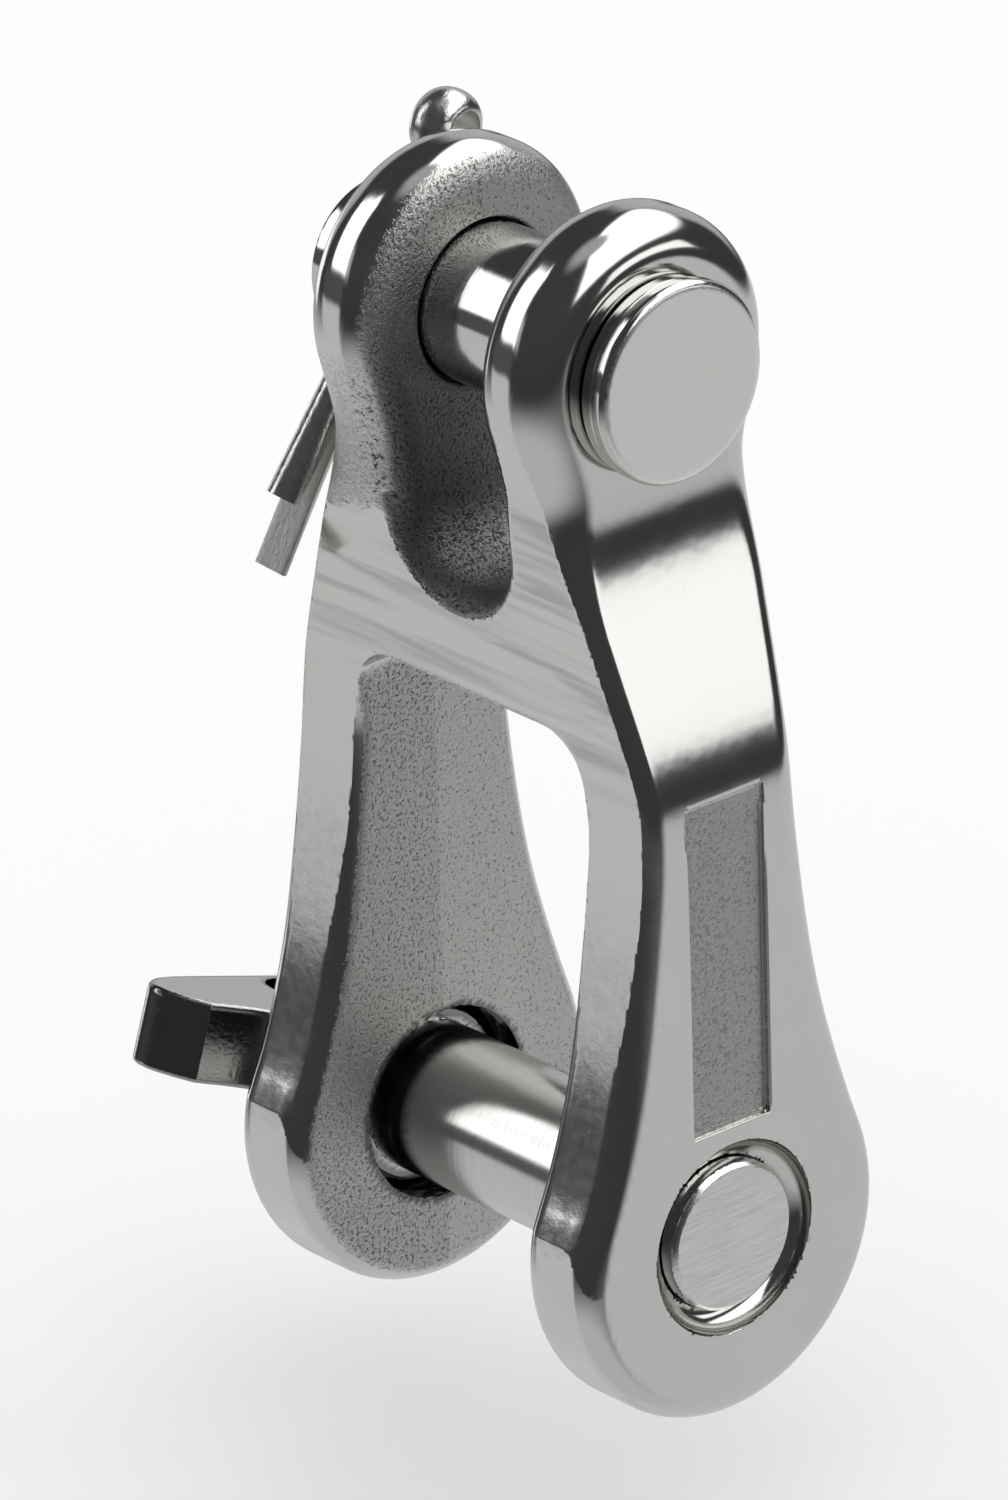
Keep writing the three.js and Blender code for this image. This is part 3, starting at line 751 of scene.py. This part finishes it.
drawn_wire, tree, shader = metal("drawn_wire")
marks = noise(tree, object_place(tree, (1, 1, 0.08), (cotter_tilt, 0, 0)), 2600.0, 3.0, 0.6)
scale_marks = use_group(tree, grain, Scale=2200.0, Pits=0.38)
flat = zone(tree, "flat_side")
round_shade = maths(tree, "SUBTRACT", blend(tree, marks, 0.52, 0.66),
                    maths(tree, "MULTIPLY", scale_marks["Pit"], 0.12))
flat_shade = maths(tree, "SUBTRACT", 0.74, maths(tree, "MULTIPLY", scale_marks["Pit"], 0.2))
shade = blend(tree, flat, round_shade, flat_shade)
tree.links.new(steel_colour(tree, shade), shader.inputs["Base Color"])
tree.links.new(blend(tree, flat, blend(tree, marks, 0.16, 0.28), 0.42), shader.inputs["Roughness"])
relief = maths(tree, "ADD", marks, maths(tree, "MULTIPLY", scale_marks["Height"], 0.8))
tree.links.new(raised(tree, relief, 0.00003), shader.inputs["Normal"])
cotter.data.materials.append(drawn_wire)
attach(cotter, "cotter_pin")
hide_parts("cotter_pin")

# ---- Screw pin -----------------------------------------------------------------------------------
# A satin-turned shank that passes through both arms, a threaded collar that screws into the far arm,
# and a forged thumb tab with a hole for seizing wire, all one piece.
screw_shank, screw_end = 6.0, 20.2
collar_crest, collar_start, collar_end = 7.45, -14.9, -21.4
thread_depth, collar_bevel, end_bevel = 0.35, 0.6, 0.35
tab_half_thickness, tab_turn = 3.25, np.radians(18.0)
tab_hole_place, tab_hole = -31.0, 2.6
tab_edge, tab_nose = 0.45, -34.7
half_plan = np.array([(tab_nose, 0.0), (tab_nose, 5.0), (tab_nose, 9.4), (-34.5, 12.0), (-33.4, 13.9),
                      (-31.7, 14.4), (-29.5, 13.7), (-27.4, 12.35), (-27.4, 12.3), (-26.1, 8.7),
                      (-24.6, 6.9), (-22.6, 6.4), (-20.0, 6.4)])


def softened(outline, rounds):
    """Corners cut again and again at a quarter and three quarters of each edge."""
    for _ in range(rounds):
        following = np.roll(outline, -1, 0)
        near, far = 0.75 * outline + 0.25 * following, 0.25 * outline + 0.75 * following
        outline = np.stack([near, far], 1).reshape(-1, 2)
    return outline


plan = softened(np.concatenate([half_plan, half_plan[:0:-1] * (1, -1)]), 3)


def plan_distance(u, v):
    """Distance to a closed outline: to its nearest edge, negative where the edges wind round the point."""
    u, v = np.broadcast_arrays(u, v)
    nearest = np.full(u.shape, np.inf)
    inside = np.zeros(u.shape, bool)
    for (u0, v0), (u1, v1) in zip(plan, np.roll(plan, -1, 0)):
        share = ((u - u0) * (u1 - u0) + (v - v0) * (v1 - v0)) / ((u1 - u0) ** 2 + (v1 - v0) ** 2)
        share = np.clip(share, 0, 1)
        nearest = np.minimum(nearest, (u - u0 - share * (u1 - u0)) ** 2 + (v - v0 - share * (v1 - v0)) ** 2)
        crosses = (v0 > v) != (v1 > v)
        inside ^= crosses & (u < u0 + (v - v0) * (u1 - u0) / np.where(v1 == v0, 1, v1 - v0))
    return np.where(inside, -1, 1) * np.sqrt(nearest)


def tab_distance(x, v, w):
    """Distance to the thumb tab and its collar, before the turn about the pin."""
    flat = plan_distance(x, v)
    tab = rolled(flat, np.abs(w) - tab_half_thickness, tab_edge)
    tab = np.maximum(tab, tab_hole - np.hypot(x - tab_hole_place, v))
    around = np.hypot(v, w)
    collar = np.maximum(around - collar_crest + thread_depth * thread_wave(x, v, w),
                        np.maximum(collar_end - x, x - collar_start))
    collar = bevelled(collar, around - collar_crest, x - collar_start, collar_bevel)
    shank = bevelled(rod(screw_shank, collar_end, screw_end, x, around),
                     around - screw_shank, x - screw_end, end_bevel)
    return filleted(np.minimum(shank, collar), tab, 0.4)


points, faces, normals, facing = skin(tab_distance, (
    spaced(tab_nose, screw_end, 0.33, ((-22.0, -14.5),), 0.25), spaced(-14.6, 14.6, 0.3),
    spaced(-7.6, 7.6, 0.3)))
cosine, sine = np.cos(tab_turn), np.sin(tab_turn)
spin = np.array([(1, 0, 0), (0, cosine, -sine), (0, sine, cosine)])
on_tab = points[:, 0] < collar_end - 0.2
tab_flat = on_tab * smooth(np.abs(facing[:, 2]), 0.9, 0.98)
end_face = points[:, 0] > screw_end - 0.05
beyond_shank = np.hypot(points[:, 1], points[:, 2]) > screw_shank + 0.15
# Painted shade: the collar's thread, sunk in the far arm's hole, is marked to be coloured dark grey.
shaded_thread = ~on_tab * (points[:, 0] < collar_start + 0.1) * beyond_shank
fields = {"on_tab": on_tab, "tab_flat": tab_flat, "end_face": end_face, "shaded_thread": shaded_thread}
screw = piece("thumb_tab_screw_pin", points @ spin, faces, normals @ spin, fields)

satin, tree, shader = metal("satin_steel")
marks = use_group(tree, rings, Scale=5200.0)["Height"]
skin_grain = use_group(tree, grain, Scale=2000.0, Pits=0.36)
strokes = noise(tree, object_place(tree, (1, 0.06, 1), (np.radians(-12), 0, 0)), 3800.0, 3.0, 0.7)
tab_zone, flat_zone, end_zone = zone(tree, "on_tab"), zone(tree, "tab_flat"), zone(tree, "end_face")
# Painted shade: the tab's glossy edges round its nose and sides get a much darker grey than its flat faces,
# for the dark that they mirror.
tab_shade = maths(tree, "SUBTRACT", blend(tree, flat_zone, 0.32, 0.64),
                  maths(tree, "MULTIPLY", skin_grain["Pit"], 0.12))
shade = blend(tree, tab_zone, blend(tree, marks, 0.54, 0.66), tab_shade)
shade = blend(tree, end_zone, shade, blend(tree, strokes, 0.55, 0.98))
# Painted shade: dark grey on the collar's thread, for the shade inside the far arm's hole.
shade = blend(tree, zone(tree, "shaded_thread"), shade, 0.25)
tree.links.new(steel_colour(tree, shade), shader.inputs["Base Color"])
gloss = blend(tree, tab_zone, blend(tree, marks, 0.15, 0.21), blend(tree, flat_zone, 0.12, 0.30))
gloss = blend(tree, end_zone, gloss, 0.34)
tree.links.new(gloss, shader.inputs["Roughness"])
relief = blend(tree, tab_zone, maths(tree, "MULTIPLY", marks, 0.25),
               maths(tree, "MULTIPLY", skin_grain["Height"], 1.1))
relief = blend(tree, end_zone, relief, maths(tree, "MULTIPLY", strokes, 0.8))
tree.links.new(raised(tree, relief, 0.00003), shader.inputs["Normal"])
screw.data.materials.append(satin)
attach(screw, "screw_pin")
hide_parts("screw_pin")
